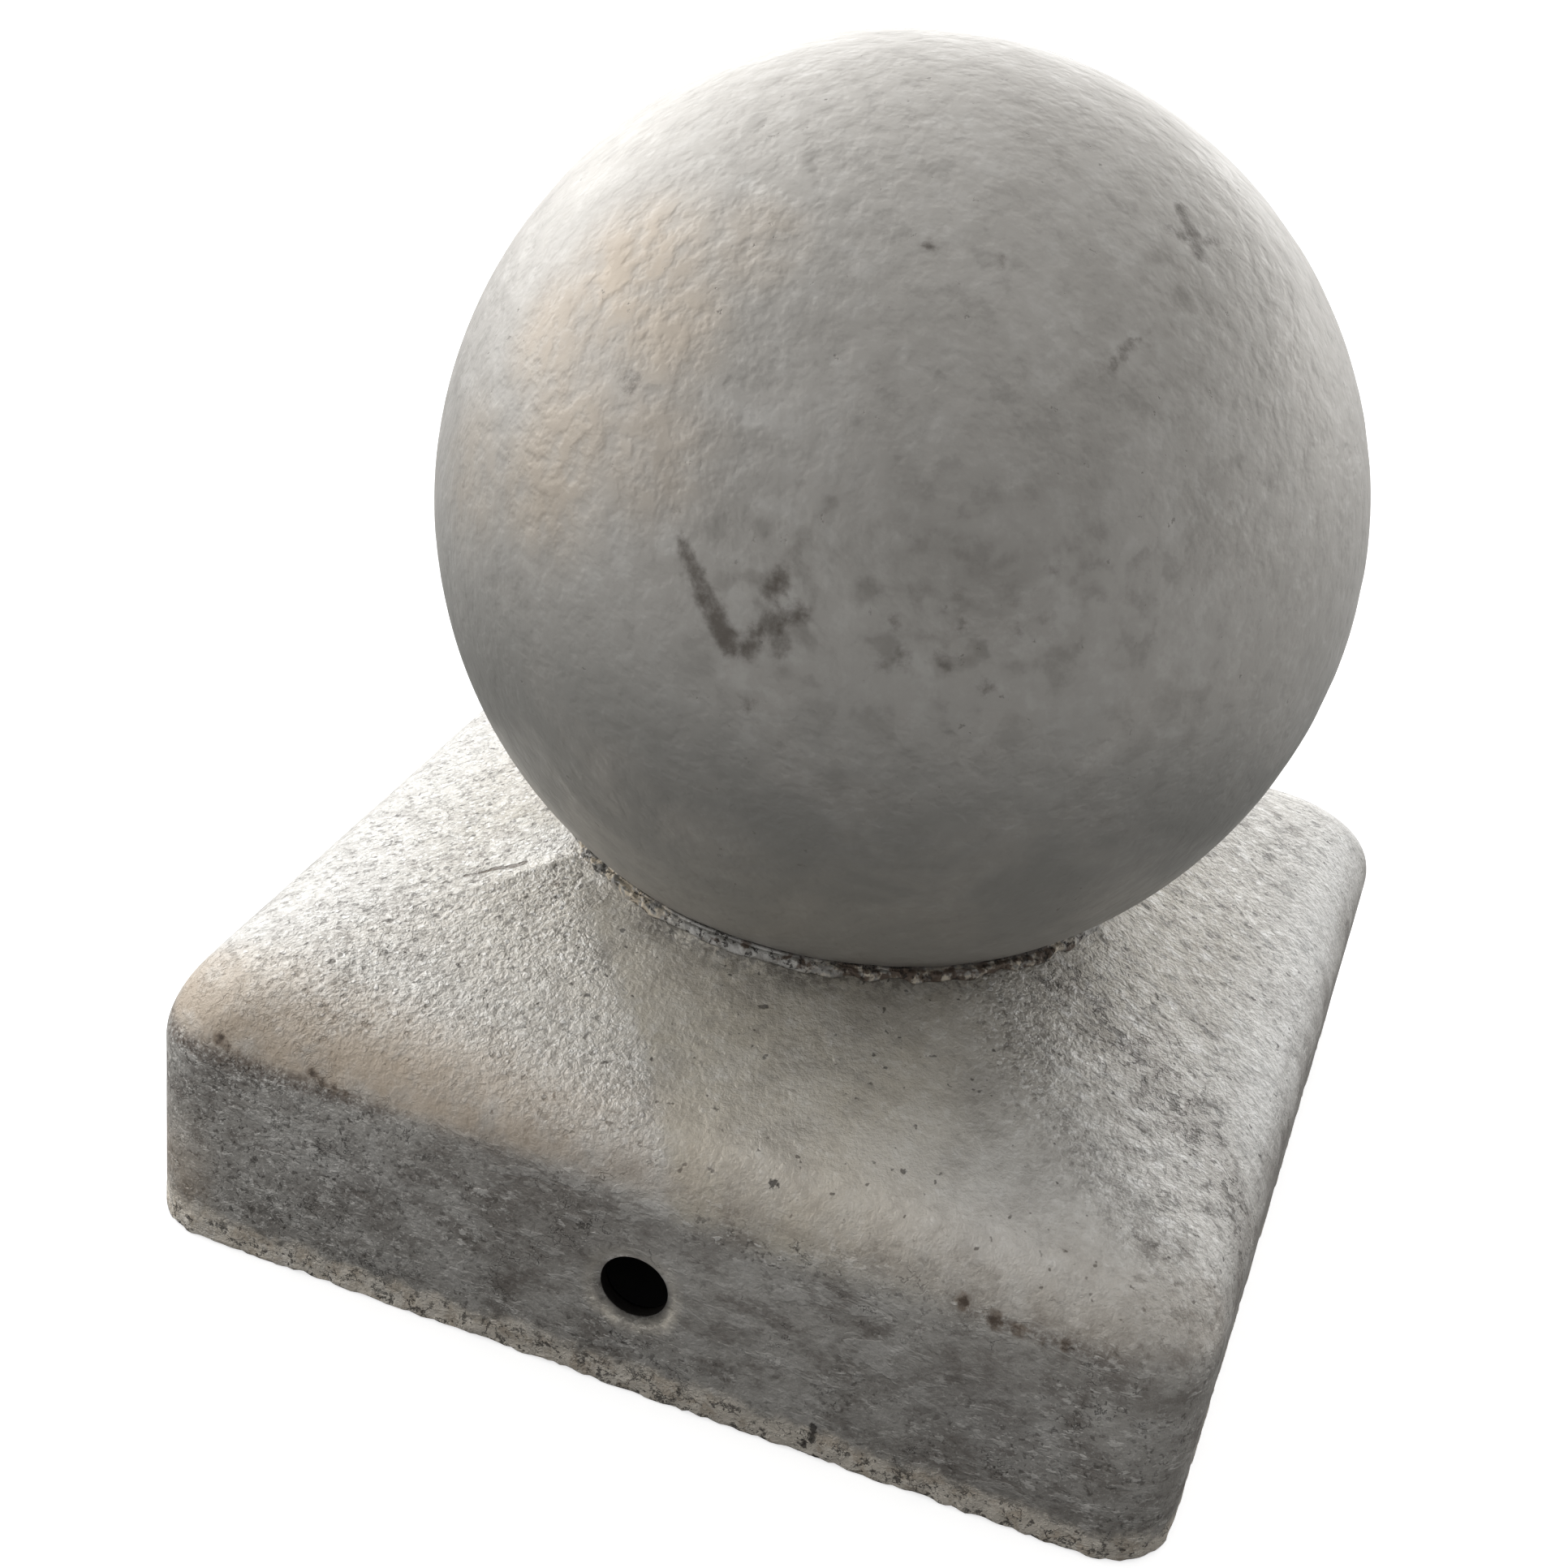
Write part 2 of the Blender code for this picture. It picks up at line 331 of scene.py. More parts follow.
def hole_lip_highlight(points):
    """Painted highlight on the dished ring round each screw hole, brightest below it."""
    x, z = points[..., 0], points[..., 2] - HOLE_HEIGHT
    away = np.hypot(x, z)
    past_edge = away - HOLE_RADIUS
    ring_round = hump(past_edge, 0, 0.3 * MM, 0.7 * MM, 1.7 * MM)
    below = 0.35 + 0.65 * smooth(-0.2, 0.8, (0.25 * x - z) / np.maximum(away, MM))
    return ring_round * below * (np.abs(points[..., 1]) > HALF - 2 * SHEET) * (points[..., 2] < SKIRT_HEIGHT)


def painted_shade_olive_tint(points):
    """Painted shade of the ball: a warm grey on the roof's front face, which fades towards the front right
    hip.
    """
    fade = 1 - 0.75 * smooth(10, 30, points[..., 0] / MM)
    return front_in_ball_shadow(points) * fade * smooth(-0.5 * MM, 2.5 * MM, points[..., 2] - SKIRT_HEIGHT)


def from_seat(points):
    """How far out on the roof a point lies from the edge of the ball's seat."""
    return np.hypot(points[..., 0], points[..., 1]) - SEAT_RADIUS


def painted_shade_at_foot(points):
    """Speckled dark band of painted shade on the roof, just outside the weld at the front, under the ball."""
    azimuth = np.degrees(np.arctan2(points[..., 1], points[..., 0]))
    front = hump(azimuth, -128, -112, -52, -36)
    return front * (1 - smooth(1 * MM, 3.4 * MM, from_seat(points))) * (points[..., 2] > SKIRT_HEIGHT)


def blisters(points):
    """Where the roof's zinc is blistered: a belt from the ball across the right face to its front corner."""
    x, y, _ = in_mm(points)
    middle = -13 - 0.55 * (x - 22) - 0.35 * np.maximum(x - 39, 0) ** 1.3
    belt = np.exp(-((y - middle) / 5) ** 2) * smooth(17, 24, x)
    left_face = 0.45 * (1 - smooth(-30, -22, x)) * (1 - smooth(0, 20, y))
    return np.clip(belt + left_face, 0, 1)


def roof_painted_light(points):
    """Whiter zinc, mostly painted light: a painted reflection along the right bend, painted light on the left
    face and over the rough, lit part of the front face, a painted highlight along the front bend, and pale
    patches by the ball's foot.
    """
    x, y, _ = in_mm(points)
    # painted reflection along the right bend
    right = 0.65 * smooth(36, 45, x) * (1 - blisters(points)) * smooth(-36, -10, y)
    # painted light on the left face
    left = 0.35 * (1 - smooth(-41, -28, x))
    # painted light on the lit part of the front face, outside the ball's shadow
    lit_front = 0.48 * smooth(-4, 4, -y - np.abs(x)) * (1 - front_in_ball_shadow(points)) * (x < 4)
    lit_front = lit_front * (1 - 0.45 * smooth(33, 40, -y))
    by_foot = 0.75 * patch(x, y, (-20.5, -19.5), (5, 5))
    under_foot = 0.34 * patch(x, y, (-8, -28), (7, 6))
    # painted highlight along the front bend
    bend_highlight = 0.4 * patch(x, y, (19, -41), (18, 6))
    return np.max([right, left, lit_front, by_foot, under_foot, bend_highlight], axis=0)


def pale_skirt(points):
    """Lighter patches on the front of the skirt: near its right end and left of the screw hole."""
    x, _, z = in_mm(points)
    right = 0.5 * patch(x, z, (31, 10), (6, 4))
    left = 0.3 * patch(x, z, (-25, 11.5), (7, 4))
    return np.maximum(right, left) * (points[..., 1] < -HALF + 2 * SHEET)


CRACK = ((-27.6, -24), (-26.5, -23.5), (-25.4, -22.4), (-24.2, -21.9), (-23, -20.9))  # x, y in mm
CRACK_FADE = 1.2 * MM


def cracks(points):
    """1 on the line of a crack on the roof, fading to 0 at CRACK_FADE from it."""
    total = np.zeros(points.shape[:-1])
    for start, end in zip(CRACK, CRACK[1:]):
        start, end = np.array(start) * MM, np.array(end) * MM
        along = end - start
        share = np.clip(((points[..., :2] - start) @ along) / (along @ along), 0, 1)
        apart = np.linalg.norm(points[..., :2] - start - share[..., None] * along, axis=-1)
        total = np.maximum(total, 1 - apart / CRACK_FADE)
    return total * (points[..., 2] > SKIRT_HEIGHT)


def grime_line(points):
    """Dark line where the stained bend meets the skirt, strongest near the front left corner."""
    x, y, z = in_mm(points)
    along = 0.15 + 0.85 * (1 - smooth(-34, -14, x)) + 0.6 * hump(x, 22, 30, 36, 42)
    return np.exp(-((z - 20.2) / 0.9) ** 2) * along * smooth(36, 41, -y)


ROOF_FADE = 7 * MM  # height over which the skirt's zinc turns into the roof's
RIM_FADE = 5 * MM  # height of the band that the rim's stain and runs reach
WAVE_DEPTH = 0.1 * MM  # slow waves of the sheet
LUMP_DEPTH = 0.06 * MM  # lumps and runs of the zinc
SKIRT_SINK = 0.05 * MM
CREASE_DEPTH = 0.55 * MM  # the roof's faces lie this far below the hips near the ball
CREASE_WIDTH = 2 * MM
CREASE_LENGTH = 22 * MM
RIM_DEPTH = 0.24 * MM  # between the beads of zinc along the rim
NOTCH_HEIGHT = 0.34 * MM  # of the rim's ragged edge


def sheet_relief(shape, roof, rim, inside, waves):
    """How far each point of the sheet moves out: waves, lumps, runs along the rim, creases at the hips."""
    lumps = rough_noise(shape, 5 * MM, 3)
    push = -WAVE_DEPTH * (0.5 + 0.5 * waves) - LUMP_DEPTH * (0.5 + 0.5 * lumps)
    push = push + roof * WAVE_DEPTH * blob_noise(shape, 11 * MM, 8)
    hip_line = np.abs(np.abs(shape[..., 0]) - np.abs(shape[..., 1])) / math.sqrt(2)
    out = from_seat(shape)
    crease = roof * (1 - smooth(0, CREASE_LENGTH, out)) * smooth(0, CREASE_WIDTH, out)
    crease = crease * (1 - np.exp(-hip_line / CREASE_WIDTH))
    azimuth = np.degrees(np.arctan2(shape[..., 1], shape[..., 0]))
    crisp = 0.3 + 0.7 * smooth(15, 60, np.abs(azimuth + 45))  # the front right hip is the softest
    push = push - CREASE_DEPTH * crease * crisp
    beads = rough_noise(shape * np.array([1, 1, 0.6]), 1.3 * MM, 21)
    push = push - rim * RIM_DEPTH * smooth(0.35, -0.45, beads) - (1 - rim) * (1 - roof) * SKIRT_SINK
    return push * (1 - 0.6 * inside)


def dish_holes(push, shape, inside):
    """Dishes the sheet in round each screw hole, and lets the relief fade out towards the hole's edge."""
    away = np.hypot(shape[..., 0], shape[..., 2] - HOLE_HEIGHT)
    dish = -LIP_DEPTH * (1 - smooth(0, LIP_WIDTH, away - HOLE_RADIUS))
    for sign in (-1, 1):
        at_hole = (sign * shape[..., 1] > HALF - 2 * SHEET) & (away < LIP_ZONE)
        wear = push * smooth(0, LIP_CALM, away - HOLE_RADIUS)
        push = np.where(at_hole, wear + np.where(inside > 0, -dish, dish), push)
    return push


def cap_masks(shape, roof, rim, inside, waves):
    """Where each thing that the sheet's look paints lies, from 0 to 1."""
    x, y = shape[..., 0], shape[..., 1]
    facing_front = smooth(-6 * MM, 2 * MM, -y - np.abs(x))
    # painted shade of the ball on the roof round its foot
    shaded = 0.6 * roof * (1 - smooth(3 * MM, 22 * MM, from_seat(shape)))
    return {
        "roof": roof, "rim": rim, "inside": inside, "bore": 0 * roof, "lip": hole_lip_highlight(shape),
        "rust": spots(shape, RUST_MARKS), "dark": spots(shape, DARK_MARKS), "crack": cracks(shape),
        "tan": stain_and_corner_reflection(shape), "line": grime_line(shape), "grain": roof_grain_less_in_shadow(shape),
        "foot": painted_shade_at_foot(shape), "blister": blisters(shape),
        "right": roof * smooth(1 * MM, 11 * MM, x + 0.8 * y + 3 * MM * waves),
        "left": 1 - smooth(-34 * MM, 8 * MM, x),
        # painted light, reflection and highlight on the roof; pale patches on the skirt
        "pale": roof * roof_painted_light(shape) + (1 - roof) * pale_skirt(shape),
        "front": roof * facing_front * (1 - smooth(12 * MM, 30 * MM, x)),
        "painted_ball_shade": np.maximum(shaded, painted_shade_olive_tint(shape)),
    }


# the wall of a screw hole, from outside (0) to the burr (1), and how far each ring stands off its edge in mm
HOLE_WALL = ((0.05, -0.04), (0.15, -0.08), (0.4, -0.08), (0.7, -0.08), (1, -0.02))
# the wall gets painted shade: dark, and black on the bore
ON_WALL = {"inside": 1, "bore": 1}  # what the masks hold there; the others hold 0


def add_hole_wall(front_loop, back_loop, rows, points, faces):
    """Joins the outer and the inner edge of a screw hole with a wall and a small burr inside."""
    loops = [[row * COLUMNS + col for row, col in front_loop]]
    start = rows[tuple(zip(*front_loop))]
    end = rows[tuple(zip(*back_loop))]
    centre = start.mean(axis=0)
    end = end + (end - start) / np.linalg.norm(end - start, axis=1)[:, None] * BURR
    for share, grow in HOLE_WALL:
        ring_points = start + (end - start) * share
        out = (ring_points - centre) * np.array([1, 0, 1])
        out /= np.linalg.norm(out, axis=1)[:, None]
        ring_points = ring_points + out * grow * MM
        loops.append(range(len(points), len(points) + len(ring_points)))
        points.extend(ring_points.tolist())
    loops.append([row * COLUMNS + col for row, col in back_loop])
    size = len(front_loop)
    for near, far in zip(loops, loops[1:]):
        for i in range(size):
            j = (i + 1) % size
            faces.append((near[i], near[j], far[j], far[i]))


def cap_skin(material):
    """One closed band of rings: the outside of the sheet, round the rim, and back up the inside."""
    azimuth = even_columns()
    outer = skin_rows(0, OUTER_BEND, OUTER_ROOF, azimuth)
    turn = []
    for depth, up in np.array(RIM_TURN) * MM:
        turn.append(ring(azimuth, square_reach(azimuth, HALF - depth, SKIRT_CORNER - depth), up))
    inner = skin_rows(SHEET, INNER_BEND, INNER_ROOF, azimuth)[::-1]
    rows = np.array(outer + turn + inner)
    last_outer = len(outer)  # row number that stands for height 0
    first_inner = len(outer) + len(turn)
    flipped = rows[::-1]
    hole_rows = []
    for column in (EIGHTH, 5 * EIGHTH):
        front = open_hole(rows, last_outer, column)
        back = open_hole(flipped, len(rows) - first_inner, column)
        hole_rows.append((column, front, len(rows) - 1 - back))
    shape = rows.copy()

    height = shape[..., 2]
    level = np.arange(len(rows))[:, None] + 0 * azimuth
    inside = (level >= first_inner).astype(float)
    roof = smooth(SKIRT_HEIGHT, SKIRT_HEIGHT + ROOF_FADE, height)
    rim = 1 - smooth(0.2 * MM, RIM_FADE, height)
    waves = blob_noise(shape, 24 * MM, 5)
    push = dish_holes(sheet_relief(shape, roof, rim, inside, waves), shape, inside)
    rows = shape + grid_normals(shape) * push[..., None]
    notch = rough_noise(shape * np.array([1, 1, 0]), 2.6 * MM, 33)
    rows[..., 2] += (1 - smooth(0, 1.6 * MM, height)) * NOTCH_HEIGHT * smooth(-0.1, 0.9, notch)
    rows[..., :2] = np.clip(rows[..., :2], -HALF, HALF)
    rows[..., 2] = np.maximum(rows[..., 2], 0)

    removed = np.zeros(rows.shape[:2], bool)
    for column, front, back in hole_rows:
        for row in (front, back):
            removed[row - HOLE_LOOPS:row + HOLE_LOOPS, column - HOLE_LOOPS:column + HOLE_LOOPS] = True
    faces = [face for face, gone in zip(band_faces(rows), removed.ravel()) if not gone]
    points = rows.reshape(-1, 3).tolist()
    for column, front, back in hole_rows:
        front_loop = edge_loop(front, column)
        back_loop = [(back - (row - front), col) for row, col in front_loop]
        add_hole_wall(front_loop, back_loop, rows, points, faces)
    extra = len(points) - rows.shape[0] * COLUMNS
    masks = {
        name: np.concatenate([values.ravel(), np.full(extra, ON_WALL.get(name, 0))])
        for name, values in cap_masks(shape, roof, rim, inside, waves).items()
    }
    return make_piece("cap_skin", points, faces, material, masks, "cap_shell")


# ---- the ball ----
BALL_COLUMNS = 400
BALL_ROWS = 92  # from the equator to a pole, outside
INNER_ROWS = 30  # and inside
POLE = 1e-4  # share of the radius left open at a pole


def ball_point(azimuth_deg, height_deg, radius=BALL_RADIUS):
    azimuth, height = math.radians(azimuth_deg), math.radians(height_deg)
    flat = math.cos(height)
    return Vector((flat * math.cos(azimuth), flat * math.sin(azimuth), math.sin(height))) * radius


def ball_marks(marks):
    """Marks given by azimuth and height in degrees, turned into places on the ball in millimetres."""
    found = []
    for azimuth, height, radius, strength in marks:
        point = ball_point(azimuth, height)
        found.append((point.x / MM, point.y / MM, (point.z + BALL_CENTRE) / MM, radius, strength))
    return found


def stroke(start, end, radius, strength, steps=7):
    """Marks in a line from one place on the ball to another, as (azimuth, height) in degrees."""
    shares = [i / (steps - 1) for i in range(steps)]
    return [
        (start[0] + (end[0] - start[0]) * share, start[1] + (end[1] - start[1]) * share, radius, strength)
        for share in shares
    ]


# azimuth and height in degrees, radius in mm and strength of each mark
SCUFFS = (
    stroke((-98.6, 13.9), (-96.2, 10.8), 1, 0.85)
    + stroke((-96.4, 11), (-93.4, 7.4), 1.3, 0.95)
    + stroke((-93.6, 7.6), (-91.2, 4.6), 1.5, 1.1, 5)
    + stroke((-89.2, 4.8), (-88.6, 6.6), 1.5, 0.85, 3) + stroke((-87.9, 11.4), (-87, 13), 1.3, 1, 3)
    + stroke((-87.4, 8.2), (-84.6, 9.8), 1.5, 0.85, 4) + [(-85.8, 6, 1.9, 0.55), (-88.4, -1.6, 1.4, 0.6)]
    + [(-74.5, 10.9, 1.3, 0.55), (-73, 7, 1.5, 0.6), (-68.5, 7.6, 1.3, 0.65), (-75, 6, 1.1, 0.55)]
    + [(-67.5, 11.4, 1.1, 0.5), (-64, 4.8, 1.4, 0.55), (-58, 17.9, 1.3, 0.5), (-61, 11, 1, 0.6)]
    + [(-62, 14, 1, 0.5)]
    + stroke((-24.8, 56), (-27, 50.5), 1.4, 0.7)
    + stroke((-21, 51.5), (-31, 53.5), 1.3, 0.6)
    + stroke((-46, 41.5), (-52, 38), 1, 0.6)
    + [(-78, 50.5, 1, 0.8), (-66, 50, 0.9, 0.6), (-112, 27.5, 1.8, 0.6), (-100.5, 16.5, 1.2, 0.5)]
)
WARM = (  # patches of warm stain
    (-121, 38, 10, 1), (-111, 34, 8, 0.85), (-118.5, 20.6, 8, 0.8), (-128, 28, 8, 0.8),
    (-105, 46, 6, 0.5), (-119, 14, 9, 0.8), (-106, 22, 8, 0.6), (-134, 9, 9, 0.5),
)
CLOUDED = (  # patches of small dark clouds
    (-72, 8, 15, 1), (-55, 10, 13, 0.8), (-88, 8.5, 10, 1), (-35, 45, 9, 0.6),
    (-80, -8, 11, 0.45), (-83, 17, 6, 0.9), (-42, -2, 13, 0.6),
)


def globe(turn, heights, radius):
    """Rings round the ball's centre. Heights are angles above the equator."""
    heights = heights[:, None]
    return ring(turn, np.maximum(np.cos(heights), POLE) * radius, BALL_CENTRE + np.sin(heights) * radius)


def ball_surface(turn, heights):
    """The ball's outside with its slight dents, the way out at each of its points, and its masks."""
    shape = globe(turn, heights, BALL_RADIUS)
    away = (shape - np.array([0, 0, BALL_CENTRE])) / BALL_RADIUS
    scuffs = spots(shape, ball_marks(SCUFFS))
    dents = 0.5 + 0.5 * blob_noise(shape, 22 * MM, 41)
    dents = -0.1 * dents - 0.07 * smooth(-0.2, 0.8, rough_noise(shape, 5 * MM, 44)) - 0.04 * scuffs
    masks = {
        "dark": scuffs, "tan": spots(shape, ball_marks(WARM)), "cloud": spots(shape, ball_marks(CLOUDED)),
        # the ball's lower part, which gets painted shade
        "low": np.exp(-((away[..., 2] + 0.35) / 0.42) ** 2),
    }
    return shape + away * dents[..., None] * MM, away, masks


def surface_normals(points, away):
    """Normals of the dented surface, which both halves share along the seam."""
    along = np.roll(points, -1, axis=1) - np.roll(points, 1, axis=1)
    normal = np.cross(np.gradient(points, axis=0), along)
    normal *= np.sign((normal * away).sum(-1, keepdims=True))
    length = np.linalg.norm(normal, axis=-1, keepdims=True)
    return np.where(length > TINY, normal / np.maximum(length, TINY), away)


def ball_half(name, upper, material, node):
    """One half shell, outside and inside. Its normals run on across the seam, which is ground flush."""
    turn = np.linspace(0, 2 * math.pi, BALL_COLUMNS, endpoint=False)
    sign = 1 if upper else -1
    drain = 0 if upper else DRAIN_RADIUS
    last = math.pi / 2 - math.asin(drain / BALL_RADIUS)
    inner_radius = BALL_RADIUS - BALL_WALL
    inner_last = math.pi / 2 - math.asin(drain / inner_radius)
    heights = np.linspace(last, 0, BALL_ROWS)
    step = heights[0] - heights[1]
    outer, away, masks = ball_surface(turn, sign * np.append(heights, -step))
    normals = surface_normals(outer, away)[:-1]
    outer = outer[:-1]
    inner = globe(turn, sign * np.linspace(0, inner_last, INNER_ROWS), inner_radius)
    inward = -(inner - np.array([0, 0, BALL_CENTRE])) / inner_radius
    rows = np.concatenate([outer, inner])
    normals = np.concatenate([normals, inward])
    masks = {key: np.concatenate([value[:-1], 0 * inner[..., 0]]) for key, value in masks.items()}
    if not upper:
        rows, normals = rows[:, ::-1], normals[:, ::-1]
        masks = {key: value[:, ::-1] for key, value in masks.items()}
    faces = band_faces(rows, closed=not upper)
    piece = make_piece(name, rows, faces, material, masks, node)
    piece.data.normals_split_custom_set_from_vertices(normals.reshape(-1, 3).tolist())
    return piece


ROOT_COLUMNS = 360


def seam_root(material):
    """The weld's root, inside the ball along the equator."""
    turn = np.linspace(0, 2 * math.pi, ROOT_COLUMNS, endpoint=False)
    radius = BALL_RADIUS - BALL_WALL
    section = (  # out and up in mm, from the wall's inside at the seam
        (0.25, -0.9), (-0.2, -0.75), (-0.55, -0.3), (-0.62, 0.1), (-0.45, 0.5), (0, 0.85), (0.25, 0.95),
    )
    rows = []
    for out, up in section:
        place = ring(turn, radius, BALL_CENTRE)
        bump = 0.14 * blob_noise(place + np.array([0, 0, up * MM]), 1.8 * MM, 61) if out < 0.2 else 0 * turn
        rows.append(ring(turn, radius + (out - bump) * MM, BALL_CENTRE + up * MM))
    rows = np.array(rows)
    zero = np.zeros(rows.shape[:2])
    masks = {"rust": zero + 0.4, "cream": zero, "groove": zero}
    return make_piece("seam_root_bead", rows, band_faces(rows), material, masks, "ball_seam_weld")


# ---- the weld round the ball's foot ----
def roof_height(azimuth, reach):
    """Height of the roof's outside at this reach from the axis."""
    half, corner, height = bend_section(0, 1)
    eaves = square_reach(azimuth, half, corner)
    share = (reach - SEAT_RADIUS) / (eaves - SEAT_RADIUS)
    return SEAT_HEIGHT + (height - SEAT_HEIGHT) * share


FOOT_COLUMNS = 1100
FACE_POINTS = 13  # across the bead's face, from the ball to the roof
BEAD_SINK = 0.1 * MM  # its edges lie this far inside the ball and the roof
BEAD_PATH = (27 * MM, 33 * MM)  # reach and height of the ring along which its noise is read
BEAD_BACK = ((0.35, -0.25), (0.25, 0.35))  # its hidden side: out and up in mm, from the roof's edge


def foot_weld(material):
    """A bead of rings from the ball down to the roof: first a groove along the ball, which gets painted
    shade, then the bead.
    """
    azimuth = np.linspace(-math.pi, math.pi, FOOT_COLUMNS, endpoint=False)
    degrees = np.degrees(azimuth)
    path = ring(azimuth, *BEAD_PATH)
    left = hump(degrees, -171, -159, -114, -102)
    right = hump(degrees, -84, -72, -28, -16)
    far = 1 - hump(degrees, -178, -162, -22, -6)
    lumpy = np.clip(0.9 * left + 0.8 * right + 0.6 * far + 0.15, 0, 1)
    wander = blob_noise(path, 5 * MM, 71)
    clump = blob_noise(path, 1.8 * MM, 73)
    seat_turn = math.asin(SEAT_RADIUS / (BALL_RADIUS + SEAT_GAP))
    turn = seat_turn + np.radians(0.65 + 0.25 * wander + lumpy * (0.6 * clump + 0.2))
    reach = (0.8 + 0.2 * wander + lumpy * (0.5 * clump + 0.15)) * MM
    top_r = (BALL_RADIUS - BEAD_SINK) * np.sin(turn)
    top_z = BALL_CENTRE - (BALL_RADIUS - BEAD_SINK) * np.cos(turn)
    foot_r = SEAT_RADIUS + reach
    foot_z = roof_height(azimuth, foot_r) - BEAD_SINK
    slope = np.arctan2(foot_r - top_r, top_z - foot_z)
    rows = []
    for share in np.linspace(0, 1, FACE_POINTS):
        line_r = top_r + (foot_r - top_r) * share
        line_z = top_z + (foot_z - top_z) * share
        base = ring(azimuth, line_r, line_z)
        groove = math.exp(-((share - 0.18) / 0.14) ** 2) * math.sin(math.pi * share)
        roll = math.sin(math.pi * min(1, max(0, (share - 0.22) / 0.78)))
        blobs = rough_noise(base, 0.9 * MM, 75)
        bulge = roll * (0.18 + lumpy * (0.08 + 0.85 * blobs) + 0.1 * blobs) - 0.3 * groove
        rows.append(ring(azimuth, line_r + bulge * MM * np.cos(slope), line_z + bulge * MM * np.sin(slope)))
    for out, up in BEAD_BACK:
        rows.append(ring(azimuth, SEAT_RADIUS + out * MM, SEAT_HEIGHT + up * MM))
    rows = np.array(rows)
    share = np.minimum(np.arange(len(rows))[:, None] / (FACE_POINTS - 1), 1)
    masks = {
        "rust": (0.2 + 0.5 * right + 0.1 * left) + 0 * share,
        "cream": np.clip(left + 0.75 * right, 0, 1) + 0 * share,
        # the groove along the ball, where painted shade goes
        "groove": (1 - smooth(0.12, 0.34, share)) + 0 * azimuth,
    }
    return make_piece("foot_weld_bead", rows, band_faces(rows), material, masks, "ball_foot_weld")


# ---- materials ----
def put(tree, socket, value):
    """Links another node's output to a socket, or writes a value into it."""
    if isinstance(value, bpy.types.NodeSocket):
        tree.links.new(value, socket)
    elif socket.type == "RGBA":
        socket.default_value = (*value, 1)
    else:
        socket.default_value = value


def new_node(tree, kind, inputs, **settings):
    """Adds a node with these settings and these inputs, by name or number. Returns its outputs."""
    node = tree.nodes.new("ShaderNode" + kind)
    for name, value in settings.items():
        setattr(node, name, value)
    for key, value in inputs.items():
        put(tree, node.inputs[key], value)
    return node.outputs


class Look:
    """A Principled material put together from small steps. Sizes are in millimetres on the object."""

    def __init__(self, name):
        self.material = bpy.data.materials.new(name)
        self.material.use_nodes = True
        self.tree = self.material.node_tree
        self.place = self.node("TexCoord", {})["Object"]
        self.colour = None

    def node(self, kind, inputs, **settings):
        return new_node(self.tree, kind, inputs, **settings)

    def stretched(self, x, y, z):
        """A place for noise() and cells(): below 1, the pattern is stretched out along that axis."""
        return self.node("Mapping", {"Vector": self.place, "Scale": (x, y, z)})[0]

    def noise(self, size, detail=3, rough=0.55, place=None, warp=0):
        inputs = {"Scale": 1 / (size * MM), "Detail": detail, "Roughness": rough, "Distortion": warp}
        return self.node("TexNoise", {"Vector": place or self.place, **inputs})["Fac"]

    def cells(self, size, place=None):
        """Distance to the nearest of many scattered points, which lie about this size apart."""
        return self.node("TexVoronoi", {"Vector": place or self.place, "Scale": 1 / (size * MM)})["Distance"]

    def mask(self, name):
        """One of the values that the mesh holds at its points."""
        return self.node("Attribute", {}, attribute_name=name)["Fac"]

    def math(self, operation, first, *others):
        """The operation on the first two values, then on that result and the third, and so on."""
        result = first
        for other in others:
            result = self.node("Math", {0: result, 1: other}, operation=operation)[0]
        return result

    def add(self, *values):
        return self.math("ADD", *values)

    def less(self, *values):
        return self.math("SUBTRACT", *values)

    def times(self, *values):
        return self.math("MULTIPLY", *values)

    def most(self, *values):
        return self.math("MAXIMUM", *values)

    def band(self, value, low, high, start=0, end=1):
        """Start where the value is low, end where it is high, with an even S between them."""
        inputs = {"Value": value, "From Min": low, "From Max": high, "To Min": start, "To Max": end}
        return self.node("MapRange", inputs, interpolation_type="SMOOTHSTEP")["Result"]

    def mix(self, share, a, b):
        return self.node("Mix", {"Factor": share, 6: a, 7: b}, data_type="RGBA")[2]

    def veins(self, noise, outer, inner, patches, low, high):
        """Thin lines along a noise's middle level, in the patches where another noise is high."""
        line = self.math("ABSOLUTE", self.less(noise, 0.5), 0)
        return self.times(self.band(line, outer, inner), self.band(patches, low, high))

    def worn(self, mask, noise, sharp=0.3, level=0.5, reach=1.6):
        """A mask from the mesh with its soft edge broken up by noise."""
        broken = self.add(mask, self.times(self.less(noise, 0.5), reach))
        edge = self.band(broken, level - sharp / 2, level + sharp / 2)
        return self.times(edge, self.band(mask, 0.02, 0.22))

    def paint(self, colour, *shares):
        """Lays a colour over what is there. How much of it is the product of the shares."""
        self.colour = self.mix(self.times(*shares), self.colour, colour)

    def finish(self, inputs, height_mm=None):
        """Fills in the shader with the painted colour, these inputs and a relief. Returns the material."""
        shader = self.tree.nodes["Principled BSDF"]
        for name, value in {"Base Color": self.colour, **inputs}.items():
            put(self.tree, shader.inputs[name], value)
        if height_mm is not None:
            normal = self.node("Bump", {"Distance": MM, "Height": height_mm})["Normal"]
            put(self.tree, shader.inputs["Normal"], normal)
        return self.material


# zinc, with the painted light and shade on it
ZINC = (0.4, 0.382, 0.352)
ZINC_LIGHT = (0.47, 0.452, 0.42)
ZINC_PALE = (0.64, 0.625, 0.595)
ZINC_DARK = (0.214, 0.191, 0.17)
# painted shade of the ball on the roof
OLIVE_PAINTED_SHADE = (0.492, 0.453, 0.378)
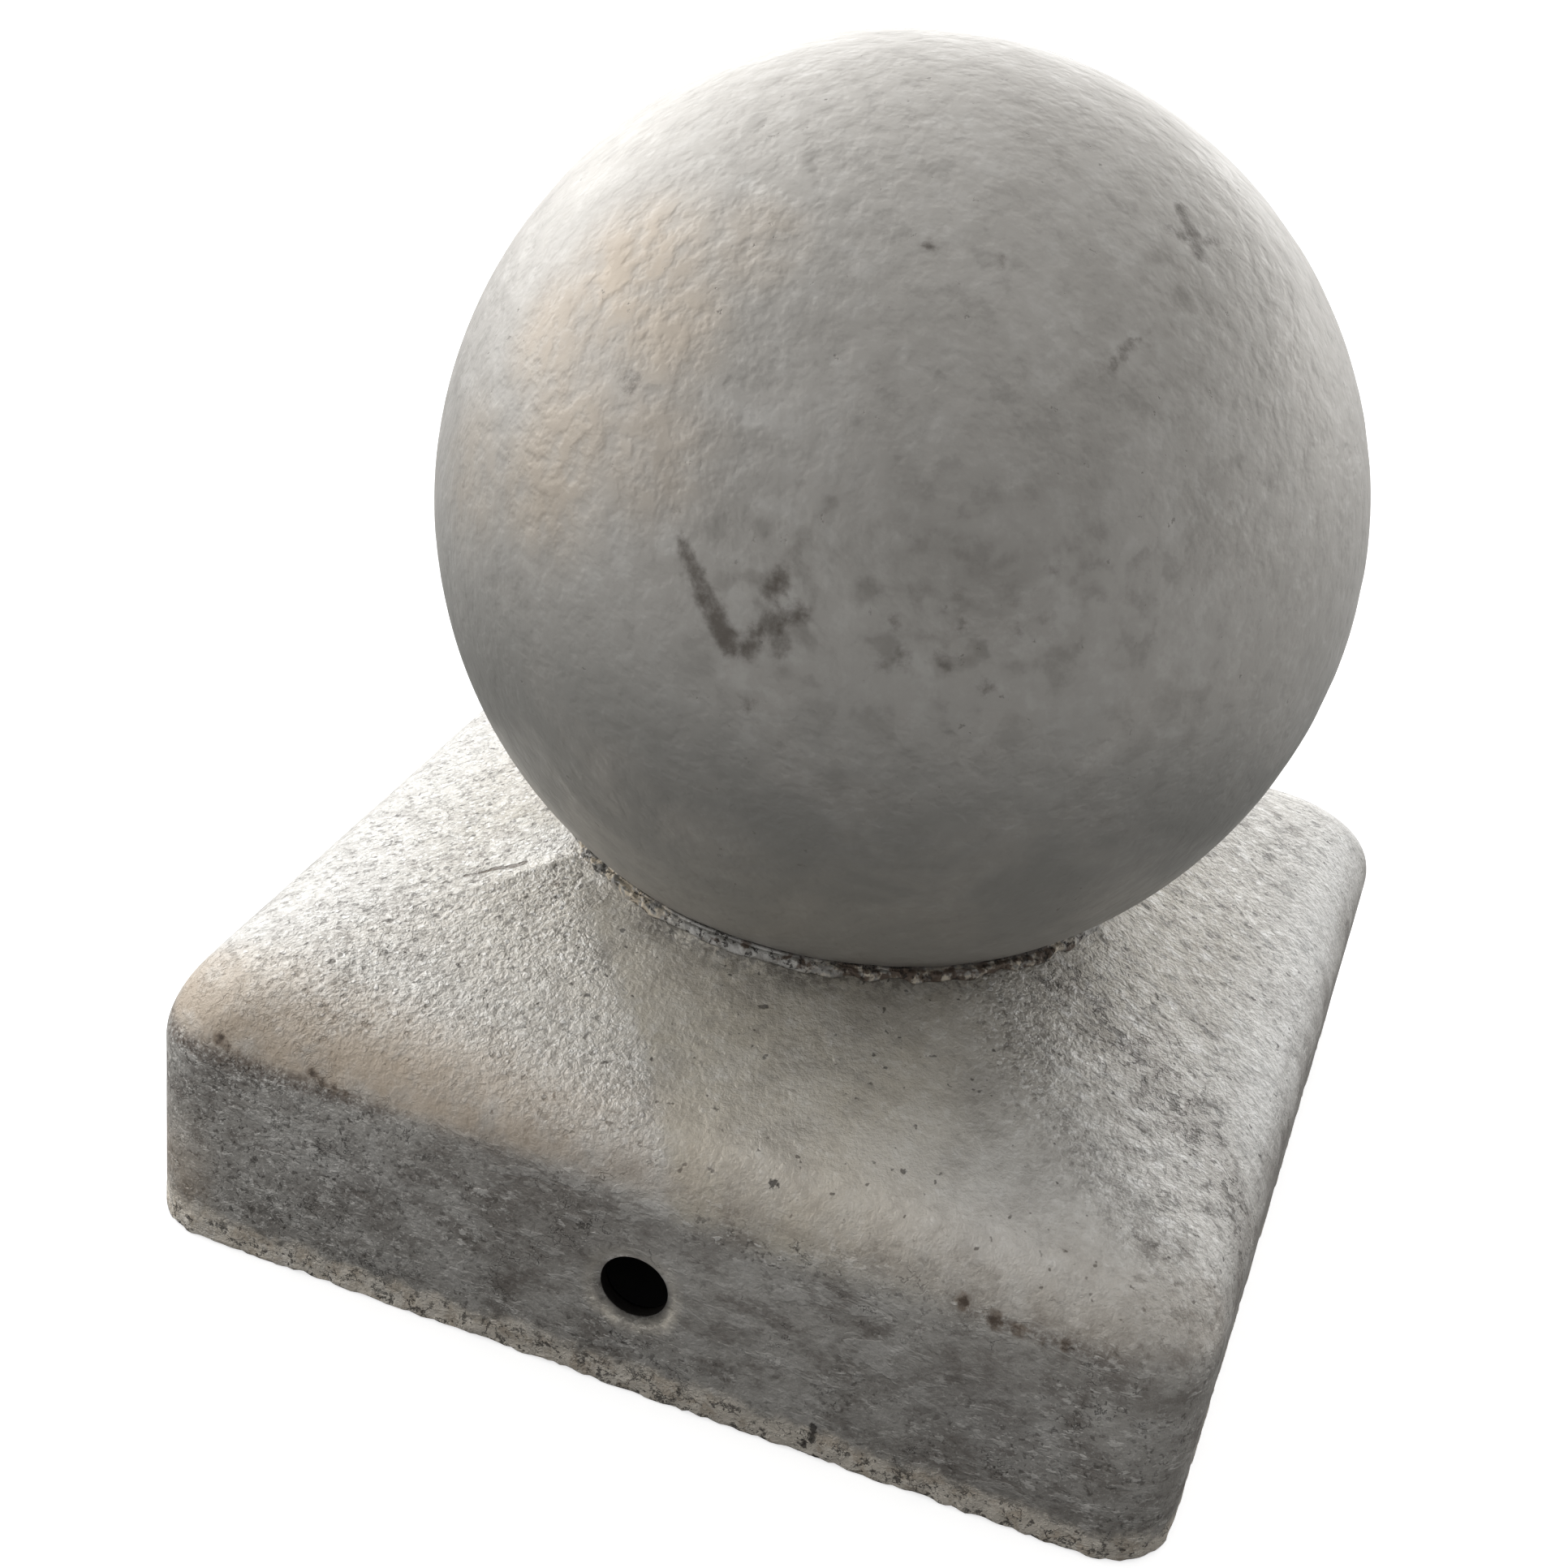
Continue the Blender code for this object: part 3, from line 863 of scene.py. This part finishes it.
# painted light on the roof, also used for pale patches on the skirt
PAINTED_LIGHT_AND_PALE_WHITE = (0.8, 0.8, 0.79)
WARM_PAINTED_LIGHT_AND_PALE = (0.82, 0.775, 0.7)
# painted highlight round the screw holes
LIP_HIGHLIGHT = (0.86, 0.8, 0.69)
BALL_ZINC = (0.355, 0.338, 0.312)
BALL_LIGHT = (0.415, 0.397, 0.37)
BALL_PALE = (0.56, 0.55, 0.525)
BALL_DARK = (0.24, 0.23, 0.21)
# painted shade on the ball's lower part
BALL_LOWER_SHADE = (0.252, 0.247, 0.229)
WELD_ZINC = (0.3, 0.29, 0.27)
WELD_LIGHT = (0.56, 0.55, 0.53)
# its grain: light and dark bits of the roof, then of the skirt, the rim and the ball
CURD_LIGHT = (0.74, 0.73, 0.7)
MOTTLE_DARK = (0.22, 0.212, 0.195)
DASH_LIGHT = (0.8, 0.79, 0.77)
DASH_DARK = (0.13, 0.122, 0.11)
CRUMB = (0.88, 0.87, 0.84)
GRIT = (0.93, 0.92, 0.9)
PIT = (0.14, 0.13, 0.115)
CURL = (0.1, 0.095, 0.085)
SORE = (0.12, 0.112, 0.1)
SPECK = (0.1, 0.092, 0.08)
PATCH = (0.58, 0.565, 0.535)
SHADE = (0.142, 0.121, 0.104)
FLECK = (0.74, 0.72, 0.68)
SALT = (0.8, 0.78, 0.74)
PEPPER = (0.075, 0.068, 0.058)
CHALK = (0.88, 0.84, 0.77)
CRUST = (0.82, 0.76, 0.66)
BALL_CLOUD = (0.17, 0.155, 0.135)
BALL_FLAW = (0.15, 0.14, 0.125)
# stains, rust and grime, the rim's painted reflection, and painted shade at the ball's foot and in the screw
# holes
TAN = (0.5, 0.405, 0.305)
# painted reflection of warm surroundings along the rim
RIM_TAN_REFLECTION = (0.88, 0.805, 0.69)
BALL_TAN = (0.43, 0.364, 0.29)
CREAM = (0.7, 0.62, 0.5)
SCALE_BROWN = (0.36, 0.27, 0.18)
CRACK_BROWN = (0.11, 0.085, 0.06)
RUST = (0.085, 0.052, 0.032)
RUST_HALO = (0.17, 0.115, 0.07)
RUST_CORE = (0.05, 0.032, 0.02)
# painted shade at the ball's foot
FOOT_DARK = (0.09, 0.083, 0.075)
BALL_SCUFF = (0.062, 0.048, 0.035)
SOOT = (0.045, 0.04, 0.035)
# painted shade on the walls of the screw holes
BORE_PAINTED_SHADE = (0.012, 0.011, 0.01)


def sheet_look():
    look = Look("galvanised_sheet_zinc")
    noise, mask, band, paint = look.noise, look.mask, look.band, look.paint
    times, add, less, most, mix = look.times, look.add, look.less, look.most, look.mix
    roof, rim, left, right = mask("roof"), mask("rim"), mask("left"), mask("right")
    skirt = less(1, roof)
    clouds = noise(8, 4, 0.6, warp=0.4)
    mottle = noise(2.4, 5, 0.68)
    fine = noise(0.42, 3, 0.7)
    sugar = noise(0.62, 3, 0.62, warp=0.3)
    # zinc, lighter and darker in clouds and mottles
    look.colour = mix(band(clouds, 0.35, 0.65), ZINC, ZINC_LIGHT)
    paint(ZINC_PALE, band(mottle, 0.52, 0.66), 0.35)
    paint(ZINC_DARK, band(mottle, 0.48, 0.34), 0.45)
    # the roof: painted paler as painted light, lumps like curds, greener where the ball's painted shade lies,
    # in dashes along the right face
    grainy = times(band(roof, 0.35, 1), mask("grain"))
    rougher = band(grainy, 0, 1, 0.6, 1)
    curds = noise(1.25, 4, 0.66, warp=0.2)
    dashes = noise(1.5, 4, 0.7, place=look.stretched(0.55, 1, 1), warp=0.3)
    # painted light: the whole roof is painted paler than the skirt
    paint(ZINC_PALE, band(roof, 0.3, 1), 0.36)
    # painted shade of the ball: olive round its foot and over the front face
    paint(OLIVE_PAINTED_SHADE, mask("painted_ball_shade"), band(clouds, 0.38, 0.62, 0.6, 0.95))
    paint(CURD_LIGHT, band(curds, 0.53, 0.66), roof, rougher, 0.5)
    paint(ZINC_DARK, band(curds, 0.46, 0.34), roof, rougher, 0.45)
    paint(MOTTLE_DARK, band(mottle, 0.48, 0.36), right, 0.55)
    paint(DASH_LIGHT, band(dashes, 0.55, 0.66), right, 0.6)
    paint(DASH_DARK, band(dashes, 0.44, 0.35), right, 0.75)
    # the roof: sugary grain with crumbs and pits, and the blisters
    coarse = times(grainy, band(right, 0, 1, 1, 0.4))
    blister = mask("blister")
    curls = times(look.veins(noise(1.7, 3, 0.6), 0.03, 0.004, noise(2.3, 2), 0.46, 0.56), blister)
    sores = times(band(noise(1.5, 3, 0.6), 0.42, 0.34), blister)
    # painted light on the roof, warmer on the front face, and pale patches on the skirt
    paint(mix(mask("front"), PAINTED_LIGHT_AND_PALE_WHITE, WARM_PAINTED_LIGHT_AND_PALE), mask("pale"), band(clouds, 0.3, 0.6, 0.5, 0.8))
    paint(CRUMB, band(fine, 0.53, 0.63), coarse, 0.75)
    paint(PIT, band(sugar, 0.43, 0.35), coarse, 0.75)
    paint(SOOT, band(noise(0.9, 2, 0.5), 0.32, 0.26), band(roof, 0.2, 0.8), 0.75)
    paint(CURL, curls, 0.8)
    paint(ZINC_DARK, band(blister, 0.45, 0.9, 0, 0.2))
    paint(SORE, sores, 0.7)
    # the roof: scattered specks and grit, the crack, and speckled painted shade round the weld
    uneven = times(less(noise(0.5, 3, 0.6), 0.5), 0.55)
    speck_spots = band(add(look.cells(1.25), uneven), 0.26, 0.16)
    grit_spots = band(add(look.cells(0.95, place=look.stretched(1, 1, 1.3)), uneven), 0.27, 0.15)
    specks = times(speck_spots, band(noise(2.1, 3), 0.47, 0.53), coarse)
    grit = times(grit_spots, band(noise(1.7, 3), 0.46, 0.52), coarse)
    crack = mask("crack")
    jagged = add(crack, times(less(noise(1.1, 4, 0.65), 0.5), 0.9))
    split = times(band(jagged, 0.72, 0.84), band(crack, 0.3, 0.6))
    paint(SPECK, specks, 0.7)
    paint(GRIT, grit, 0.7)
    paint(CRACK_BROWN, split, 0.9)
    # speckled painted shade at the ball's foot
    paint(FOOT_DARK, mask("foot"), band(add(sugar, mottle), 1.12, 0.9, 0.2, 1), 0.62)
    # the skirt: painted darker as painted shade, grime, pale flecks and patches, fine cracks
    lying = look.stretched(0.5, 0.5, 1)
    rough_skirt = times(skirt, most(band(noise(7, 3, 0.55), 0.42, 0.6, 0.3, 1), left))
    patches = times(band(noise(3.4, 4, 0.66, place=lying, warp=0.4), 0.555, 0.6), skirt)
    flecks = times(band(noise(0.9, 3, 0.6, place=lying), 0.585, 0.65), rough_skirt)
    hairlines = times(look.veins(noise(2.8, 4, 0.65), 0.014, 0, noise(4.5, 2), 0.55, 0.65), skirt)
    blots = noise(4, 3, 0.6, warp=0.5)
    # painted shade: the whole skirt is painted darker than the roof, in clouds
    paint(ZINC_DARK, skirt, band(clouds, 0.3, 0.6, 0.52, 0.05))
    paint(PATCH, patches, 0.45)
    paint(SHADE, band(noise(2, 4, 0.66, place=lying), 0.47, 0.38), skirt, 0.42)
    paint(FLECK, flecks, 0.7)
    paint(SALT, band(fine, 0.56, 0.65), rough_skirt, band(left, 0, 1, 0.45, 0.75))
    paint(PEPPER, band(sugar, 0.44, 0.34), rough_skirt, band(left, 0, 1, 0.66, 0.76))
    paint(SOOT, hairlines, 0.6)
    paint(ZINC_PALE, band(blots, 0.51, 0.62), 0.15)
    paint(ZINC_DARK, band(blots, 0.49, 0.37), 0.18)
    # warm stain along the bend; along the rim a warm band of painted reflection, with stain, scale and crust
    # in it
    stain = times(mask("tan"), band(noise(3.2, 4, 0.62), 0.25, 0.6, 0.35, 1))
    ragged = add(rim, times(less(noise(3, 5, 0.68), 0.5), 1.5))
    rim_reflection_and_stain = times(band(ragged, 0.12, 0.66), band(rim, 0, 0.35))
    crust = times(rim_reflection_and_stain, band(fine, 0.52, 0.66))
    rim_curls = look.veins(noise(1.9, 4, 0.65), 0.022, 0.002, noise(2.9, 2), 0.48, 0.56)
    rim_pits = most(band(noise(0.9, 3, 0.7), 0.45, 0.36), rim_curls)
    rim_pits = times(rim_reflection_and_stain, rim_pits, band(rim, 0.1, 0.6))
    paint(TAN, stain, 0.8)
    # painted reflection of warm surroundings along the rim, strongest on the left
    paint(RIM_TAN_REFLECTION, rim_reflection_and_stain, band(left, 0, 1, 0.66, 0.95))
    paint(CHALK, rim_reflection_and_stain, left, band(mottle, 0.45, 0.6), 0.6)
    paint(RUST, band(mask("line"), 0.1, 0.9), band(fine, 0.6, 0.4, 0.08, 0.62))
    paint(SCALE_BROWN, rim_reflection_and_stain, band(rim, 0.1, 0.5), band(noise(1.7, 4, 0.66), 0.5, 0.6), 0.42)
    paint(CRUST, crust, 0.7)
    paint(SOOT, rim_pits, 0.8)
    # rust blooms, dark marks, the painted highlight round the screw holes, and painted shade inside the cap
    # and its screw holes
    rust_spots, bore = mask("rust"), mask("bore")
    rust = look.worn(rust_spots, noise(0.8, 4, 0.7), 0.6, 0.72, 1.9)
    dark = look.worn(mask("dark"), noise(0.6, 3, 0.7))
    paint(RUST_HALO, look.worn(rust_spots, noise(1, 4, 0.7), 0.7, 0.5, 1.6), 0.55)
    paint(RUST_CORE, rust, 0.85)
    paint(SOOT, dark, 0.85)
    # painted highlight round each screw hole
    paint(LIP_HIGHLIGHT, mask("lip"), band(mottle, 0.38, 0.55, 0.35, 1), 0.92)
    # painted shade inside the cap, and black painted shade on the holes' walls
    paint(ZINC_DARK, mask("inside"), 0.5)
    paint(BORE_PAINTED_SHADE, bore)
    dull = most(rust, times(stain, 0.8), times(rim_reflection_and_stain, 0.8), bore)
    height = add(
        times(band(sugar, 0.32, 0.66), band(grainy, 0, 1, 0.03, 0.095)),
        times(fine, 0.07),
        times(curds, rougher, 0.13),
        times(grit, 0.1),
        times(most(specks, split), -0.12),
        times(noise(3, 4, 0.62), 0.24),
        times(dashes, right, 0.2),
        times(add(flecks, patches), 0.04),
        times(noise(0.9, 3, 0.6), skirt, band(left, 0, 1, 0.06, 0.22)),
        times(most(rim_pits, dark, hairlines), -0.12),
        times(most(curls, sores), -0.1),
        times(crust, 0.06),
    )
    return look.finish({
        "Specular IOR Level": band(bore, 0, 1, 0.5, 0),
        "Metallic": band(dull, 0, 1, 0.5, 0.1),
        "Roughness": band(clouds, 0.3, 0.7, 0.46, 0.6),
    }, height)


def ball_look():
    look = Look("galvanised_ball_zinc")
    noise, mask, band, paint = look.noise, look.mask, look.band, look.paint
    times, add = look.times, look.add
    clouds = noise(10, 4, 0.6, warp=0.6)
    mottle = noise(2.6, 5, 0.65)
    blotch = noise(2.6, 2, 0.5, warp=0.5)
    warm = times(mask("tan"), band(noise(3.4, 4, 0.62), 0.3, 0.6, 0.4, 1))
    flaw = band(noise(1.5, 4, 0.7), 0.33, 0.27)
    dark = look.worn(mask("dark"), noise(1.1, 5, 0.7), 1, 0.64, 1.7)
    look.colour = look.mix(band(clouds, 0.35, 0.65), BALL_ZINC, BALL_LIGHT)
    paint(BALL_PALE, band(mottle, 0.5, 0.68), 0.3)
    paint(BALL_DARK, band(mottle, 0.47, 0.34), 0.34)
    paint(BALL_CLOUD, mask("cloud"), band(add(times(blotch, 0.7), times(mottle, 0.3)), 0.51, 0.34), 0.42)
    # painted shade on the lower part of the ball
    paint(BALL_LOWER_SHADE, mask("low"), band(clouds, 0.35, 0.6, 0.4, 0.95))
    paint(BALL_TAN, warm, 0.82)
    paint(BALL_FLAW, flaw, 0.55)
    paint(BALL_SCUFF, dark, 0.82)
    height = add(
        times(band(noise(1.7, 2.5, 0.55), 0.28, 0.62), band(warm, 0, 0.8, 0.055, 0.078)),
        times(noise(0.8, 3, 0.65), 0.03),
        times(noise(5, 3, 0.6), 0.14),
        times(look.most(dark, flaw), -0.03),
    )
    return look.finish({
        "Metallic": band(dark, 0, 1, 0.5, 0.2),
        "Roughness": band(clouds, 0.3, 0.7, 0.44, 0.56),
    }, height)


def weld_look():
    look = Look("weld_bead_zinc_and_rust")
    noise, mask, band, paint = look.noise, look.mask, look.band, look.paint
    times, add, less = look.times, look.add, look.less
    lumps = noise(0.9, 4, 0.65)
    stain = band(add(mask("rust"), times(less(noise(1.2, 3, 0.6), 0.5), 3.2)), 0.45, 0.85)
    pits = band(noise(0.7, 3, 0.7), 0.45, 0.36)
    look.colour = look.mix(band(lumps, 0.35, 0.65), WELD_ZINC, WELD_LIGHT)
    paint(CREAM, mask("cream"), band(lumps, 0.44, 0.56))
    paint(RUST, stain, 0.9)
    paint(SOOT, pits, 0.85)
    # painted shade in the groove along the ball
    paint(SOOT, mask("groove"), 0.8)
    height = less(times(noise(0.5, 3, 0.6), 0.2), times(pits, 0.15))
    return look.finish({
        "Metallic": band(stain, 0, 1, 0.4, 0),
        "Roughness": band(lumps, 0.3, 0.7, 0.45, 0.75),
    }, height)


zinc_sheet, zinc_ball, weld = sheet_look(), ball_look(), weld_look()
cap_skin(zinc_sheet)
ball_half("ball_lower_skin", False, zinc_ball, "ball_lower_half")
ball_half("ball_upper_skin", True, zinc_ball, "ball_upper_half")
seam_root(weld)
foot_weld(weld)


# ---- floor, light and camera ----
WHITE = (1, 1, 1)
FLOOR_HALF = 2
SHADED, OPEN = 0.07, 0.17  # distances from the axis: in the cap's shade, and clear of it
DIM, BRIGHT = 0.21, 0.66  # what the metal sees of the floor at these two distances
PAPER = (0.62, 0.62, 0.62)  # what the camera sees of it
PAPER_GLOW = 0.7  # keeps the paper white under the soft shadow


def paper_look():
    """White paper to the camera, with no glow inside the cap, where it looks in through a screw hole."""
    look = Look("pale_floor")
    axes = look.node("SeparateXYZ", {0: look.place})
    widest = look.most(*[look.math("ABSOLUTE", axes[axis], 0) for axis in "XY"])
    outside = look.math("GREATER_THAN", widest, HALF - 3 * SHEET)
    seen = look.times(look.node("LightPath", {})["Is Camera Ray"], outside)
    reach = look.node("VectorMath", {0: look.place}, operation="LENGTH")["Value"]
    look.colour = look.band(reach, SHADED, OPEN, DIM, BRIGHT)
    look.paint(PAPER, seen)
    return look.finish({
        "Emission Color": WHITE,
        "Emission Strength": look.times(seen, PAPER_GLOW),
        "Roughness": 0.9,
        "Specular IOR Level": 0,
    })


def make_floor():
    half = FLOOR_HALF
    corners = [(-half, -half, 0), (half, -half, 0), (half, half, 0), (-half, half, 0)]
    mesh = bpy.data.meshes.new("floor")
    mesh.from_pydata(corners, [], [(0, 1, 2, 3)])
    mesh.materials.append(paper_look())
    floor = bpy.data.objects.new("floor", mesh)
    bpy.context.scene.collection.objects.link(floor)


LOBES = (  # azimuth, height in degrees, sharpness, strength
    (152, 29, 7.5, 2.05),
    (101, -51, 1.5, 9),
    (189, 33, 1.5, 1.1),
    (349, 56, 5, 0.8),
    (188, 2, 7, 1),
    (52, 9, 9, 0.22),
    (103, 52, 9, 0.5),
)


def make_light():
    """Soft studio light from a few sides. The camera itself sees plain white."""
    world = bpy.data.worlds.new("studio")
    bpy.context.scene.world = world
    world.use_nodes = True
    tree = world.node_tree
    tree.nodes.clear()

    def step(operation, inputs, **settings):
        return new_node(tree, "Math", inputs, operation=operation, **settings)[0]

    place = new_node(tree, "TexCoord", {})["Generated"]
    total = 0
    for azimuth, height, sharp, strength in LOBES:
        towards = {0: place, 1: ball_point(azimuth, height, 1)}
        facing = new_node(tree, "VectorMath", towards, operation="DOT_PRODUCT")["Value"]
        share = step("MULTIPLY_ADD", {0: facing, 1: 0.5, 2: 0.5}, use_clamp=True)
        lobe = step("POWER", {0: share, 1: 2 * sharp})
        total = step("MULTIPLY_ADD", {0: lobe, 1: strength, 2: total})
    lit = new_node(tree, "Background", {"Strength": total})[0]
    plain = new_node(tree, "Background", {"Color": WHITE})[0]
    camera_ray = new_node(tree, "LightPath", {})["Is Camera Ray"]
    sky = new_node(tree, "MixShader", {0: camera_ray, 1: lit, 2: plain})[0]
    new_node(tree, "OutputWorld", {"Surface": sky})


# the camera: where it stands, what it looks at and how far it is turned about that line
EYE = Vector((47.8, -190.35, 144.65)) * MM
AIM = Vector((-3.8, -10, 39.7)) * MM
ROLL = math.radians(8.25)
LENS, SENSOR = 55.6, 36  # in mm
NEAREST, FARTHEST = 0.01, 10


def make_camera():
    data = bpy.data.cameras.new("camera")
    data.lens = LENS
    data.sensor_width = SENSOR
    data.clip_start = NEAREST
    data.clip_end = FARTHEST
    camera = bpy.data.objects.new("camera", data)
    bpy.context.scene.collection.objects.link(camera)
    camera.rotation_mode = "QUATERNION"
    camera.location = EYE
    camera.rotation_quaternion = (AIM - EYE).to_track_quat("-Z", "Y") @ Quaternion((0, 0, 1), ROLL)
    bpy.context.scene.camera = camera


make_floor()
make_light()
make_camera()
bpy.context.scene.view_settings.view_transform = "Standard"
bpy.context.scene.view_settings.look = "None"
